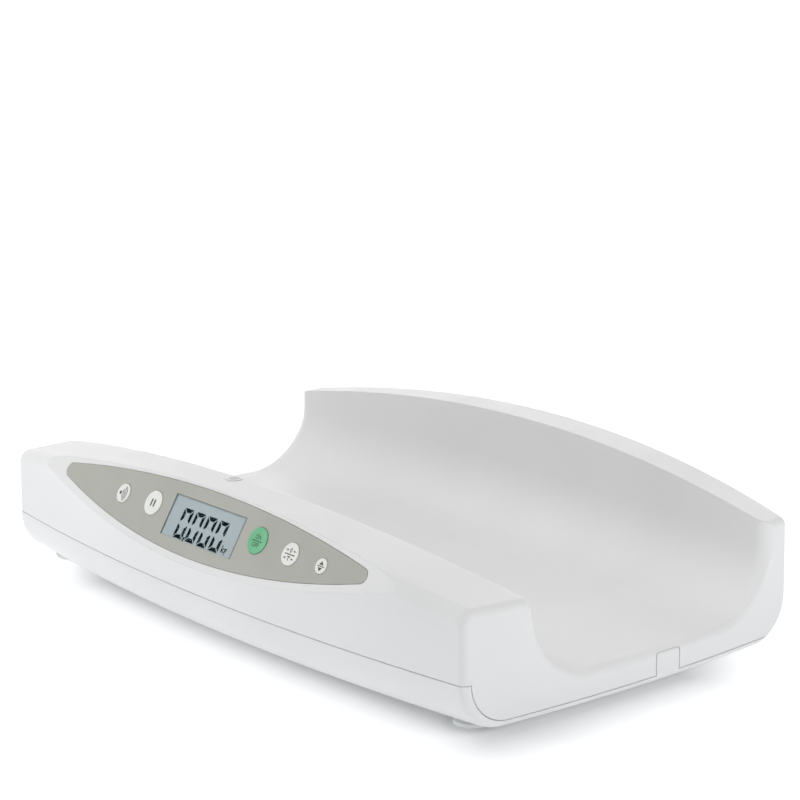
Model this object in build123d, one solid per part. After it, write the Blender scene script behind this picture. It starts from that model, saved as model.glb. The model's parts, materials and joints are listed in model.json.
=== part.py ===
from build123d import *
import os
from math import asin, cos, degrees, radians, sin, sqrt, tan

# Digital baby weighing scale: a moulded casing whose open-ended tray has a high, flared back
# wall and a wide console along the front, closed from below by a base pan on four levelling
# feet. Millimetres. X runs along the tray, -Y is the console side, +Z is up. The origin is the
# middle of the footprint, on the table.

# Housing plan: four bowed sides between sharp corners.
HALF_LENGTH = 275.0       # to the middle of a bowed end
END_BOW = 8.8
FRONT_Y = -152.6          # front corners, at and below the seam
FRONT_BOW = 19.45
BACK_Y = 156.8
BACK_BOW = 22.5
DRAFT = 1.0               # degrees, ends and back
LEAN_MID = 17.7           # degrees the console front leans out at the middle
LEAN_QUARTER = 10.2       # and at QUARTER_X
QUARTER_X = 110.0
WALL = 3.0                # thickness of the mouldings

# Housing heights.
BASE_Z = 4.0              # underside of the base pan
SEAM_Z = 38.3             # seam along the front
SEAM_END_Z = 9.3          # seam along the ends and the back
SEAM_TURN_Y = -117.2      # centre of the turn that joins the two
SEAM_TURN_R = 29.0
SEAM_GROOVE = 0.5
SEAM_GROOVE_DEPTH = 0.7
FRONT_BOTTOM_R = 32.0
BACK_BOTTOM_R = 33.5
RIM_Z = 87.3              # front rim at the corners
RIM_ARCH = 23.8           # rise of the rim to the middle
RIM_OUTER_R = 10.0
RIM_INNER_R = 8.0
END_EDGE_R = 6.0

# Tray trough.
TRAY_Z = 28.6
TRAY_FRONT_Y = -96.0      # wall at rim height, at the corners
TRAY_FRONT_BOW = 13.1
TRAY_FRONT_SLOPE = 9.0    # degrees
TRAY_FRONT_R = 49.0
TRAY_BACK_Y = 131.8
TRAY_BACK_BOW = 11.8
TRAY_BACK_SLOPE = 1.0     # degrees
TRAY_BACK_R = 50.0
FLARE_R = 10.0            # flared ends of the back wall
FLARE_SWEEP = 110.0       # degrees
WALL_Z = 94.3             # back wall crest at its ends
WALL_ARCH = 23.2
WALL_CREST_R = 6.5        # larger than END_EDGE_R

# Tongues of the base pan that plug the notches in the ends of the casing.
TONGUE_Y = 26.3
TONGUE_WIDTH = 23.0
TONGUE_TOP_Z = 25.2
TONGUE_R = 2.5

# Console panel, a flat facet cut across the leaning front.
PANEL_Y = -162.7
PANEL_Z = 88.5
PANEL_TILT = 58.91        # degrees from level
OVERLAY_HALF = 197.0      # where the two border arcs would meet
OVERLAY_TIP_V = 5.4
OVERLAY_TOP_V = 24.3
OVERLAY_BOTTOM_V = -26.6
OVERLAY_TIP_R = 5.4
OVERLAY_THICK = 1.2
OVERLAY_RECESS = 1.0
FIT_GAP = 0.3             # around pieces laid or guided in an opening
TOUCH_GAP = 0.05

# Display.
DISPLAY_X = 1.0
DISPLAY_V = -1.2
WINDOW_LENGTH = 84.7
WINDOW_WIDTH = 31.5
WINDOW_FLANGE = 4.6
WINDOW_FLANGE_THICK = 1.0
WINDOW_STEP = 1.7
GLASS_LENGTH = 92.0
GLASS_WIDTH = 38.0
GLASS_THICK = 2.8
FRAME_WALL = 1.6
ZEBRA_LENGTH = 84.0
ZEBRA_THICK = 2.4

# Keys: name, place across the panel, place up the panel, radius.
KEYS = [
    ("sound", -100.6, 0.9, 7.4),
    ("hold", -62.5, 1.8, 9.4),
    ("power", 63.5, 2.1, 9.8),
    ("zero", 100.9, 1.1, 8.35),
    ("limit", 134.8, 0.8, 5.6),
]
KEY_PROUD = 0.9
KEY_EDGE_R = 0.5
KEY_FLANGE = 1.2
KEY_FLANGE_THICK = 1.0
KEY_STEM_R = 2.2
KEY_TRAVEL = 0.8
SWITCH_SIZE = 6.0
SWITCH_HEIGHT = 3.5
PLUNGER_R = 1.75
PLUNGER_RISE = 1.0        # of the plunger above its switch
PLUNGER_BORE_GAP = 0.15

# Main board, parallel to the panel.
BOARD_DEPTH = 8.0         # from the inside of the panel to the board
BOARD_THICK = 1.6
BOARD_LEFT = -116.0
BOARD_RIGHT = 148.0
BOARD_LOW_V = -15.0
BOARD_HIGH_V = 11.0
BOARD_POSTS = [(-82.0, -11.0), (-82.0, 7.0), (118.0, -11.0), (118.0, 7.0)]
BOARD_POST_R = 3.2
BOARD_SCREW_R = 1.2
BOARD_SCREW_BITE = 5.0
BOARD_HEAD_R = 2.8
BOARD_HEAD = 1.8
PILOT_GAP = 0.1
BUZZER_X = -96.0
BUZZER_V = -5.0
BUZZER_R = 6.0
BUZZER_HEIGHT = 4.0

# Bubble level let into the rim.
LEVEL_X = -15.9
LEVEL_Y = -123.4
LEVEL_R = 5.8
LEVEL_FLANGE = 0.8
LEVEL_FLANGE_THICK = 1.0
LEVEL_DEPTH = 8.0
LEVEL_WALL = 0.9
LEVEL_PROUD = 0.4
LENS_THICK = 1.4

# Levelling feet and the load cells they carry.
FOOT_INSET_X = 26.0       # from the corner to the foot
FOOT_FRONT_INSET = 31.0
FOOT_BACK_INSET = 69.0
PAD_R = 12.5
PAD_THICK = 3.0
PAD_EDGE_R = 1.0
DISC_R = 13.0
DISC_THICK = 3.0
HUB_R = 7.0
FOOT_TRAVEL = 5.0
STUD_R = 4.0
STUD_GAP = 0.15
STUD_SPARE = 2.5          # of the stud above its load cell when screwed right down
POCKET_R = 15.0
POCKET_Z = 9.0
CUP_R = 18.0
CUP_FLOOR = 3.0
CELL_LENGTH = 30.0
CELL_WIDTH = 26.0
CELL_THICK = 2.5
CELL_SLOT = 2.0
CELL_TONGUE = 14.0
HOLDER_RIM = 2.0
HOLDER_THICK = 2.5
CLIP_THICK = 1.8
CLIP_WIDTH = 10.0
CLIP_NOSE = 1.4

# Battery bay: four AA cells side by side under the tray.
BAY_Y = 25.8
CELL_R = 7.1
CELL_BODY = 49.3
CELL_NUB_R = 2.7
CELL_NUB = 1.2
CELL_PITCH = 14.8
CELL_COUNT = 4
CONTACT_SPACE = 3.3
CONTACT_LEAF = 0.5
SPRING_R = 4.6
BOX_WALL = 1.5
BOX_ROOF_GAP = 0.3
CELL_Z = 15.2
BAY_RIM_Z = 9.5           # top of the raised floor round the bay
BAY_MARGIN = 6.0
COVER_THICK = 2.0
COVER_OVERLAP = 3.2       # of the cover past the cell opening, each way
COVER_GAP = 0.3
COVER_TRAVEL = 10.0
LIP_WIDTH = 2.0
LIP_THICK = 1.1
LIP_GAP = 0.1
LIP_SPARE = 2.0           # a lip is this much shorter than the cover's travel
CELL_REST_Z = 7.8         # ribs of the cover stop just under the cells
RIB_THICK = 2.0
GRIP_COUNT = 5
GRIP_PITCH = 3.0
GRIP_WIDTH = 1.2
GRIP_DEPTH = 0.6
GRIP_LENGTH = 24.0

# Screws that hold the base pan to the posts of the casing.
POST_INNER_X = 80.0
POST_FOOT_GAP = 35.2      # along the tray, from a foot's middle to the outer post's
POST_Y = [-49.2, 76.8]
POST_R = 4.2
BOSS_R = 5.5
BOSS_Z = 10.0
SCREW_R = 1.5
SCREW_HEAD_R = 2.9
SCREW_HEAD = 2.0
SCREW_SEAT_Z = 7.5
SCREW_TOP_Z = 20.0
SCREW_END_GAP = 1.0

# Stiffening ribs under the tray and on the floor of the base pan.
RIB_DEPTH = 4.0
FLOOR_RIB_Z = 10.0
RIB_X = [60.0, 120.0, 180.0]
RIB_END_GAP = 20.0

# Worked out from the sizes above.
CORNER_X = HALF_LENGTH - END_BOW
MID_Y = (FRONT_Y + BACK_Y) / 2
HALF_DEPTH = (BACK_Y - FRONT_Y) / 2
BACK_WALL_HALF = CORNER_X - FLARE_R
RIM_TOP_Z = RIM_Z + RIM_ARCH
SKY = 2 * RIM_TOP_Z       # above everything
WIDE = 1.1 * HALF_LENGTH  # past both ends
PANEL = Plane(
    origin=(0, PANEL_Y, PANEL_Z),
    x_dir=(1, 0, 0),
    z_dir=(0, -sin(radians(PANEL_TILT)), cos(radians(PANEL_TILT))),
)
PANEL_INSIDE = -WALL
BOARD_TOP = PANEL_INSIDE - BOARD_DEPTH
BOARD_BACK = BOARD_TOP - BOARD_THICK
FRAME_LENGTH = GLASS_LENGTH + 2 * FIT_GAP + 2 * FRAME_WALL
FRAME_WIDTH = GLASS_WIDTH + 2 * FIT_GAP + 2 * FRAME_WALL
FOOT_X = CORNER_X - FOOT_INSET_X
FEET = [
    ("front_left", -FOOT_X, FRONT_Y + FOOT_FRONT_INSET),
    ("front_right", FOOT_X, FRONT_Y + FOOT_FRONT_INSET),
    ("back_left", -FOOT_X, BACK_Y - FOOT_BACK_INSET),
    ("back_right", FOOT_X, BACK_Y - FOOT_BACK_INSET),
]
POST_X = [POST_INNER_X, FOOT_X - POST_FOOT_GAP]
CUP_TOP_Z = POCKET_Z + CUP_FLOOR
CELL_Z0 = CUP_TOP_Z + HOLDER_THICK
STUD_TOP_Z = CELL_Z0 + CELL_THICK + FOOT_TRAVEL + STUD_SPARE
CELL_SPAN = CELL_BODY + CELL_NUB
BOX_HALF_X = CELL_SPAN / 2 + CONTACT_SPACE
BOX_HALF_Y = CELL_PITCH * CELL_COUNT / 2 + FIT_GAP
BOX_ROOF_Z = CELL_Z + CELL_R + BOX_ROOF_GAP
COVER_HALF_X = BOX_HALF_X + COVER_OVERLAP
COVER_HALF_Y = BOX_HALF_Y + COVER_OVERLAP - COVER_GAP


def arc_radius(half, bow):
    return (half * half + bow * bow) / (2 * bow)


def turned(profile, radius, crown_y):
    """Turn a YZ profile about the upright axis of a wide bow, far enough to be WIDE at y = 0."""
    toward = 1 if crown_y < 0 else -1
    axis = Axis((0, crown_y + toward * radius, 0), (0, 0, 1))
    half = degrees(asin(WIDE / (radius - abs(crown_y))))
    return revolve(profile.rotate(axis, -half), axis, 2 * half)


def corner_at(face, y, z):
    """Vertex of a profile drawn in the XY plane as (y, z)."""
    return face.vertices().sort_by_distance(Vertex(y, z, 0))[0]


def front_plan(z, inset):
    """Plan of the front half at height z, with the console leaning out above the seam."""
    rise = z - SEAM_Z
    crown = FRONT_Y - FRONT_BOW + inset
    radius = arc_radius(CORNER_X, FRONT_BOW)
    far_y = crown + radius - sqrt(radius**2 - WIDE**2)
    if rise > 0:
        quarter = crown + FRONT_BOW * (QUARTER_X / CORNER_X) ** 2 - rise * tan(radians(LEAN_QUARTER))
        middle = crown - rise * tan(radians(LEAN_MID))
        corner_y = FRONT_Y + inset
        right = [(QUARTER_X, quarter), (CORNER_X, corner_y), (WIDE, far_y)]
        left = [(-x, y) for x, y in reversed(right)]
        front = Spline(*left, (0, middle), *right)
    else:
        front = ThreePointArc((-WIDE, far_y), (0, crown), (WIDE, far_y))
    sides = Polyline((WIDE, far_y), (WIDE, 0), (-WIDE, 0), (-WIDE, far_y))
    return Pos(0, 0, z) * make_face([front, sides])


def front_half(inset):
    """Rounded front bottom with the console front above it."""
    crown = FRONT_Y - FRONT_BOW + inset
    floor = BASE_Z + inset
    reach = 2 * BACK_Y
    corners = [(crown, SEAM_Z), (crown, floor), (reach, floor), (reach, SEAM_Z)]
    profile = make_face(Polyline(*corners, close=True))
    profile = fillet(corner_at(profile, crown, floor), FRONT_BOTTOM_R - inset)
    pan = turned(Plane.YZ * profile, arc_radius(CORNER_X, FRONT_BOW), crown)
    front_side = Pos(0, -SKY, 0) * Box(4 * WIDE, 2 * SKY, 2 * SKY)
    console = loft([front_plan(SEAM_Z, inset), front_plan(SKY, inset)], ruled=True)
    return (pan & front_side) + console


def back_half(inset):
    """Rounded back bottom with the drafted back above it."""
    crown = BACK_Y + BACK_BOW - inset
    floor = BASE_Z + inset
    top = crown - (SKY - SEAM_Z) * tan(radians(DRAFT))
    reach = 2 * FRONT_Y
    corners = [(crown, SEAM_Z), (crown, floor), (reach, floor), (reach, SKY), (top, SKY)]
    profile = make_face(Polyline(*corners, close=True))
    profile = fillet(corner_at(profile, crown, floor), BACK_BOTTOM_R - inset)
    pan = turned(Plane.YZ * profile, arc_radius(CORNER_X, BACK_BOW), crown)
    return pan & (Pos(0, SKY, 0) * Box(4 * WIDE, 2 * SKY, 2 * SKY))


def between_ends(inset):
    """Everything between the two bowed, drafted end faces."""
    radius = arc_radius(HALF_DEPTH, END_BOW)
    reach = 1.4 * HALF_DEPTH
    faces = []
    for z in (0, SKY):
        crown = HALF_LENGTH - inset - (z - SEAM_Z) * tan(radians(DRAFT))
        corner = crown - radius + sqrt(radius**2 - reach**2)
        right = ThreePointArc((corner, MID_Y - reach), (crown, MID_Y), (corner, MID_Y + reach))
        left = mirror(right, Plane.YZ)
        joins = [Line(a @ end, b @ end) for a, b, end in ((left, right, 0), (left, right, 1))]
        faces.append(Pos(0, 0, z) * make_face([right, left, *joins]))
    return loft(faces, ruled=True)


def above_arch(half, end_z, rise):
    """Sheet above an arch, drawn in the XZ plane."""
    radius = arc_radius(half, rise)
    return Pos(0, end_z) * Rectangle(3 * WIDE, 3 * SKY) - Pos(0, end_z + rise - radius) * Circle(radius)


def above_rim(inset):
    sheet = above_arch(CORNER_X, RIM_Z - inset, RIM_ARCH)
    space = extrude(Plane.XZ * sheet, 2 * SKY)
    return space & (Pos(0, 0, TRAY_Z + SKY) * Box(4 * WIDE, 6 * SKY, 2 * SKY))


def above_wall(inset):
    sheet = above_arch(BACK_WALL_HALF, WALL_Z - inset, WALL_ARCH)
    space = extrude(Plane.XZ * sheet, -2 * SKY)
    return space & (Pos(0, 0, TRAY_Z + SKY) * Box(4 * WIDE, 6 * SKY, 2 * SKY))


def trough_profile(wall_y, slope, radius, inset):
    """Trough side that rises from the floor through a round foot, as (y, z)."""
    inward = 1 if wall_y < 0 else -1
    lean = inward * tan(radians(slope))
    rim_z = RIM_Z if inward > 0 else WALL_Z
    floor = TRAY_Z - inset
    foot = wall_y + (rim_z - floor) * lean
    top = wall_y - (SKY - rim_z) * lean
    reach = inward * WIDE
    face = make_face(Polyline((foot, floor), (reach, floor), (reach, SKY), (top, SKY), close=True))
    return Plane.YZ * fillet(corner_at(face, foot, floor), radius + inset)


def trough(inset):
    crown = TRAY_FRONT_Y - TRAY_FRONT_BOW - inset
    profile = trough_profile(crown, TRAY_FRONT_SLOPE, TRAY_FRONT_R, inset)
    front = turned(profile, arc_radius(CORNER_X, TRAY_FRONT_BOW), crown)
    crown = TRAY_BACK_Y + TRAY_BACK_BOW + inset
    profile = trough_profile(crown, TRAY_BACK_SLOPE, TRAY_BACK_R, inset)
    back = turned(profile, arc_radius(BACK_WALL_HALF, TRAY_BACK_BOW), crown)
    return front & back


def flares(inset):
    """Horns cut at both ends of the back wall, where it turns outwards round FLARE_R."""
    crown = TRAY_BACK_Y + TRAY_BACK_BOW + inset
    radius = arc_radius(BACK_WALL_HALF, TRAY_BACK_BOW)
    profile = trough_profile(crown, TRAY_BACK_SLOPE, TRAY_BACK_R, inset)
    foot_start = profile.vertices().group_by(Axis.Z)[0].sort_by(Axis.Y)[-1].Y
    section = profile & (Pos(0, foot_start + WIDE / 2, 0) * Box(WALL, WIDE, 3 * SKY))
    angle = asin(BACK_WALL_HALF / radius)
    reach = radius + FLARE_R - inset
    bow_axis = Axis((0, crown - radius, 0), (0, 0, 1))
    horns = []
    for side in (1, -1):
        pivot = (side * reach * sin(angle), crown - radius + reach * cos(angle), 0)
        end_section = section.rotate(bow_axis, -side * degrees(angle))
        horns.append(revolve(end_section, Axis(pivot, (0, 0, 1)), side * FLARE_SWEEP))
    return horns


def ahead_of_panel(inset):
    return PANEL * Pos(0, 0, SKY / 2 - inset) * Box(3 * WIDE, 2 * SKY, SKY)


def edge_near(solid, x, y, z):
    return solid.edges().sort_by_distance(Vertex(x, y, z))[0]


def rim_outer_edge(solid, inset):
    z = RIM_TOP_Z - inset
    return edge_near(solid, 0, FRONT_Y - FRONT_BOW + inset - (z - SEAM_Z) * tan(radians(LEAN_MID)), z)


def rim_inner_edge(solid, inset):
    return edge_near(solid, 0, TRAY_FRONT_Y - TRAY_FRONT_BOW - inset, RIM_TOP_Z - inset)


def crest_outer_edge(solid):
    z = WALL_Z + WALL_ARCH
    return edge_near(solid, 0, BACK_Y + BACK_BOW - (z - SEAM_Z) * tan(radians(DRAFT)), z)


def end_loops(solid):
    """Closed loops of edges round both end faces."""
    loops = []
    for end_face in (solid.faces().sort_by(Axis.X)[0], solid.faces().sort_by(Axis.X)[-1]):
        loops += end_face.outer_wire().edges()
    return loops


def housing_block(inset):
    """The whole housing as one solid, set in from the outer skin by inset."""
    block = (front_half(inset) + back_half(inset)) & between_ends(inset)
    block = block - above_rim(inset) - above_wall(inset) - trough(inset)
    block = fillet(rim_outer_edge(block, inset), RIM_OUTER_R - inset)
    block = fillet(rim_inner_edge(block, inset), RIM_INNER_R - inset)
    if inset == 0:
        block = fillet(crest_outer_edge(block), WALL_CREST_R)
        block = fillet(end_loops(block), END_EDGE_R)
    return block - flares(inset) - ahead_of_panel(inset)


def below_seam(grow):
    """Everything under the seam, grown upwards by grow, without the tongues."""
    low = Pos(0, SEAM_END_Z + grow - SKY / 2) * Rectangle(4 * WIDE, SKY)
    raised = Pos(SEAM_TURN_Y - WIDE / 2, SEAM_Z + grow - SKY / 2) * Rectangle(WIDE, SKY)
    turn = Pos(SEAM_TURN_Y, SEAM_Z) * Circle(SEAM_TURN_R - grow)
    side = low + (raised - turn)
    return extrude(Plane.YZ * side, 2 * WIDE, both=True)


def tongues(grow):
    width = TONGUE_WIDTH + 2 * grow
    height = TONGUE_TOP_Z - SEAM_END_Z + 2 * SEAM_GROOVE + grow
    face = Rectangle(width, height, align=(Align.CENTER, Align.MAX))
    face = fillet(face.vertices().group_by(Axis.Y)[-1], TONGUE_R)
    bar = extrude(Plane.YZ * Pos(TONGUE_Y, TONGUE_TOP_Z + grow) * face, 2 * WIDE, both=True)
    middle = Box(2 * (CORNER_X - 2 * WALL), 4 * SKY, 2 * SKY)
    return bar - middle


def seam_groove():
    """Shadow gap that runs along the seam on the outside of both mouldings."""
    half = SEAM_GROOVE / 2
    depth = SEAM_GROOVE_DEPTH
    inside = (front_half(depth) + back_half(depth)) & between_ends(depth)
    band = (below_seam(half) + tongues(half)) - below_seam(-half) - tongues(-half)
    return band - inside


def overlay_face(grow):
    """Lens between two border arcs, with rounded tips."""
    top_radius = arc_radius(OVERLAY_HALF, OVERLAY_TOP_V - OVERLAY_TIP_V)
    bottom_radius = arc_radius(OVERLAY_HALF, OVERLAY_TIP_V - OVERLAY_BOTTOM_V)
    top = Pos(0, OVERLAY_TOP_V - top_radius) * Circle(top_radius + grow)
    bottom = Pos(0, OVERLAY_BOTTOM_V + bottom_radius) * Circle(bottom_radius + grow)
    lens = top & bottom
    return fillet(lens.vertices(), OVERLAY_TIP_R + grow)


def on_panel(x, v, w, shape):
    """Place a shape at (x, v) on the panel, w out from its face."""
    return PANEL * Pos(x, v, w) * shape


def panel_block(x, v, low, high, length, width):
    box = Box(length, width, high - low, align=(Align.CENTER, Align.CENTER, Align.MIN))
    return on_panel(x, v, low, box)


def panel_disc(x, v, low, high, radius):
    disc = Cylinder(radius, high - low, align=(Align.CENTER, Align.CENTER, Align.MIN))
    return on_panel(x, v, low, disc)


def upright(x, y, low, high, radius):
    return Pos(x, y, low) * Cylinder(radius, high - low, align=(Align.CENTER, Align.CENTER, Align.MIN))


def standing_box(x, y, low, high, length, width):
    box = Box(length, width, high - low, align=(Align.CENTER, Align.CENTER, Align.MIN))
    return Pos(x, y, low) * box


def post_places():
    return [(sx * x, y) for x in POST_X for sx in (1, -1) for y in POST_Y]


def ribs(low, high):
    """Row of ribs across the housing, between low and high."""
    high_y = BACK_Y - BACK_BOTTOM_R - RIB_END_GAP
    low_y = FRONT_Y + FRONT_BOTTOM_R + RIB_END_GAP
    places = [side * x for x in RIB_X for side in (1, -1)]
    middle = (low_y + high_y) / 2
    return [standing_box(x, middle, low, high, RIB_THICK, high_y - low_y) for x in places]


def console_openings():
    """Recess for the overlay, window seat and key holes, cut through the panel."""
    recess = on_panel(0, 0, -OVERLAY_RECESS, extrude(overlay_face(FIT_GAP), SKY / 2))
    seat_length = WINDOW_LENGTH + 2 * (WINDOW_FLANGE + FIT_GAP)
    seat_width = WINDOW_WIDTH + 2 * (WINDOW_FLANGE + FIT_GAP)
    seat_low = -OVERLAY_RECESS - WINDOW_FLANGE_THICK
    seat = panel_block(DISPLAY_X, DISPLAY_V, seat_low, 0, seat_length, seat_width)
    through_length = WINDOW_LENGTH + 2 * WINDOW_STEP
    through_width = WINDOW_WIDTH + 2 * WINDOW_STEP
    through = panel_block(DISPLAY_X, DISPLAY_V, -2 * WALL, 0, through_length, through_width)
    holes = [panel_disc(x, v, -2 * WALL, 0, r + FIT_GAP) for _, x, v, r in KEYS]
    return [recess, seat, through, *holes]


def casing_posts(core):
    """Screw posts and ribs under the tray and posts behind the panel, trimmed to the shell."""
    posts = [upright(x, y, BOSS_Z, SKY, POST_R) for x, y in post_places()]
    posts += [panel_disc(x, v, BOARD_TOP, 0, BOARD_POST_R) for x, v in BOARD_POSTS]
    posts += ribs(TRAY_Z - WALL - RIB_DEPTH, TRAY_Z)
    return [post & core for post in posts]


def casing_pilots():
    top = SCREW_TOP_Z + SCREW_END_GAP
    pilots = [upright(x, y, BOSS_Z, top, SCREW_R + PILOT_GAP) for x, y in post_places()]
    deep = BOARD_TOP + BOARD_SCREW_BITE + PILOT_GAP
    pilots += [panel_disc(x, v, BOARD_TOP, deep, BOARD_SCREW_R + PILOT_GAP) for x, v in BOARD_POSTS]
    return pilots


def upper_casing(block, core, groove):
    shell = block - core
    shell = shell - below_seam(0) - tongues(0) - groove
    shell = shell + casing_posts(core)
    shell = shell - upright(LEVEL_X, LEVEL_Y, RIM_TOP_Z - 2 * WALL, SKY, LEVEL_R + FIT_GAP / 2)
    return shell - console_openings() - casing_pilots()


def cup(x, y):
    """Raised cup over a foot, with two clips for the load cell holder."""
    body = upright(x, y, BASE_Z, CUP_TOP_Z, CUP_R)
    holder_half = CELL_LENGTH / 2 + HOLDER_RIM + FIT_GAP
    clip_top = CELL_Z0 + TOUCH_GAP + CLIP_THICK
    for side in (1, -1):
        stem_x = x + side * (holder_half + CLIP_THICK / 2)
        body += standing_box(stem_x, y, CUP_TOP_Z - CUP_FLOOR, clip_top, CLIP_THICK, CLIP_WIDTH)
        nose_x = x + side * (holder_half - CLIP_NOSE / 2)
        body += standing_box(nose_x, y, CELL_Z0 + TOUCH_GAP, clip_top, CLIP_NOSE, CLIP_WIDTH)
    return body


def base_bay():
    """Raised floor round the battery bay."""
    length = 2 * (COVER_HALF_X + LIP_WIDTH + BAY_MARGIN)
    low = BAY_Y - COVER_HALF_Y - BAY_MARGIN
    high = BAY_Y + COVER_HALF_Y + COVER_TRAVEL + BAY_MARGIN
    return standing_box(0, (low + high) / 2, BASE_Z, BAY_RIM_Z, length, high - low)


def lip_places():
    """Places of the cover's lips along the bay, from its middle."""
    return [-2 * COVER_TRAVEL, 0, 2 * COVER_TRAVEL]


def lip_length():
    return COVER_TRAVEL - LIP_SPARE


def bay_cuts():
    """Cell opening, cover recess, lip grooves and the notches that let the lips out."""
    opening = standing_box(0, BAY_Y, 0, SKY, 2 * BOX_HALF_X, 2 * BOX_HALF_Y)
    opening = opening & standing_box(0, BAY_Y, 0, BAY_RIM_Z, 4 * BOX_HALF_X, 4 * BOX_HALF_Y)
    recess_width = 2 * (COVER_HALF_X + COVER_GAP)
    low = BAY_Y - COVER_HALF_Y - COVER_GAP
    high = BAY_Y + COVER_HALF_Y + COVER_TRAVEL + COVER_GAP
    middle = (low + high) / 2
    recess = standing_box(0, middle, 0, BASE_Z + COVER_THICK + LIP_GAP, recess_width, high - low)
    groove_low = BASE_Z + COVER_THICK - LIP_GAP
    groove_high = BASE_Z + COVER_THICK + LIP_THICK + LIP_GAP
    groove_width = recess_width + 2 * LIP_WIDTH
    groove = standing_box(0, middle, groove_low, groove_high, groove_width, high - low)
    notch_length = lip_length() + 2 * COVER_GAP
    places = [BAY_Y + place + COVER_TRAVEL for place in lip_places()]
    notches = [standing_box(0, y, 0, groove_high, groove_width, notch_length) for y in places]
    return [opening, recess, groove, *notches]


def base_pan(block, core, groove):
    shell = (block - core) & (below_seam(0) + tongues(0))
    shell = shell - groove
    features = [cup(x, y) for _, x, y in FEET]
    features += [upright(x, y, BASE_Z, BOSS_Z, BOSS_R) for x, y in post_places()]
    features += ribs(BASE_Z + WALL / 2, FLOOR_RIB_Z)
    features.append(base_bay())
    shell = shell + [feature & block for feature in features]
    cuts = [upright(x, y, 0, POCKET_Z, POCKET_R) for _, x, y in FEET]
    cuts += [upright(x, y, 0, CUP_TOP_Z + WALL, STUD_R + 2 * STUD_GAP) for _, x, y in FEET]
    cuts += [upright(x, y, 0, SCREW_SEAT_Z, SCREW_HEAD_R + FIT_GAP) for x, y in post_places()]
    cuts += [upright(x, y, 0, BOSS_Z + WALL, SCREW_R + PILOT_GAP) for x, y in post_places()]
    return shell - cuts - bay_cuts()


def panel_overlay():
    sheet = on_panel(0, 0, -OVERLAY_RECESS, extrude(overlay_face(0), OVERLAY_THICK))
    window = panel_block(DISPLAY_X, DISPLAY_V, -SKY, SKY, WINDOW_LENGTH, WINDOW_WIDTH)
    holes = [panel_disc(x, v, -SKY, SKY, r + FIT_GAP) for _, x, v, r in KEYS]
    return sheet - [window, *holes]


def display_window():
    low = -OVERLAY_RECESS - WINDOW_FLANGE_THICK
    length = WINDOW_LENGTH + 2 * WINDOW_FLANGE
    width = WINDOW_WIDTH + 2 * WINDOW_FLANGE
    flange = panel_block(DISPLAY_X, DISPLAY_V, low, -OVERLAY_RECESS, length, width)
    top = OVERLAY_THICK - OVERLAY_RECESS - TOUCH_GAP
    face_length = WINDOW_LENGTH - 2 * TOUCH_GAP
    face_width = WINDOW_WIDTH - 2 * TOUCH_GAP
    return flange + panel_block(DISPLAY_X, DISPLAY_V, -OVERLAY_RECESS, top, face_length, face_width)


def lcd_glass():
    low = PANEL_INSIDE - GLASS_THICK
    return panel_block(DISPLAY_X, DISPLAY_V, low, PANEL_INSIDE, GLASS_LENGTH, GLASS_WIDTH)


def lcd_frame():
    outer = panel_block(DISPLAY_X, DISPLAY_V, BOARD_TOP, PANEL_INSIDE, FRAME_LENGTH, FRAME_WIDTH)
    length = GLASS_LENGTH + 2 * FIT_GAP
    width = GLASS_WIDTH + 2 * FIT_GAP
    return outer - panel_block(DISPLAY_X, DISPLAY_V, -SKY, SKY, length, width)


def zebra_strip(side):
    v = DISPLAY_V + side * (GLASS_WIDTH - ZEBRA_THICK) / 2
    return panel_block(DISPLAY_X, v, BOARD_TOP, PANEL_INSIDE - GLASS_THICK, ZEBRA_LENGTH, ZEBRA_THICK)


def main_board():
    length = BOARD_RIGHT - BOARD_LEFT
    width = BOARD_HIGH_V - BOARD_LOW_V
    middle_x = (BOARD_RIGHT + BOARD_LEFT) / 2
    middle_v = (BOARD_HIGH_V + BOARD_LOW_V) / 2
    board = panel_block(middle_x, middle_v, BOARD_BACK, BOARD_TOP, length, width)
    board += panel_block(DISPLAY_X, DISPLAY_V, BOARD_BACK, BOARD_TOP, FRAME_LENGTH, FRAME_WIDTH)
    holes = [panel_disc(x, v, BOARD_BACK, BOARD_TOP, BOARD_SCREW_R + PILOT_GAP) for x, v in BOARD_POSTS]
    return board - holes


def board_screws():
    screws = []
    for x, v in BOARD_POSTS:
        shank = panel_disc(x, v, BOARD_BACK, BOARD_TOP + BOARD_SCREW_BITE, BOARD_SCREW_R)
        head = panel_disc(x, v, BOARD_BACK - BOARD_HEAD, BOARD_BACK, BOARD_HEAD_R)
        screws.append(shank + head)
    return Compound(screws)


def key_cap(x, v, radius):
    """Round cap with a guide flange behind the panel and a stem down to the switch."""
    flange_top = PANEL_INSIDE - FIT_GAP
    flange_low = flange_top - KEY_FLANGE_THICK
    body = panel_disc(x, v, flange_low, KEY_PROUD, radius)
    top_edge = body.edges().filter_by(GeomType.CIRCLE).sort_by(Axis(PANEL.origin, PANEL.z_dir))[-1]
    body = fillet(top_edge, KEY_EDGE_R)
    body += panel_disc(x, v, flange_low, flange_top, radius + KEY_FLANGE)
    stem_low = BOARD_TOP + SWITCH_HEIGHT + PLUNGER_RISE
    return body + panel_disc(x, v, stem_low, flange_low, KEY_STEM_R)


def plunger_low():
    return BOARD_TOP + SWITCH_HEIGHT - 2 * KEY_TRAVEL


def plunger(x, v):
    return panel_disc(x, v, plunger_low(), BOARD_TOP + SWITCH_HEIGHT + PLUNGER_RISE, PLUNGER_R)


def switch_housing(x, v):
    body = panel_block(x, v, BOARD_TOP, BOARD_TOP + SWITCH_HEIGHT, SWITCH_SIZE, SWITCH_SIZE)
    bore_low = plunger_low() - KEY_TRAVEL - PLUNGER_BORE_GAP
    return body - panel_disc(x, v, bore_low, 0, PLUNGER_R + PLUNGER_BORE_GAP)


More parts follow.
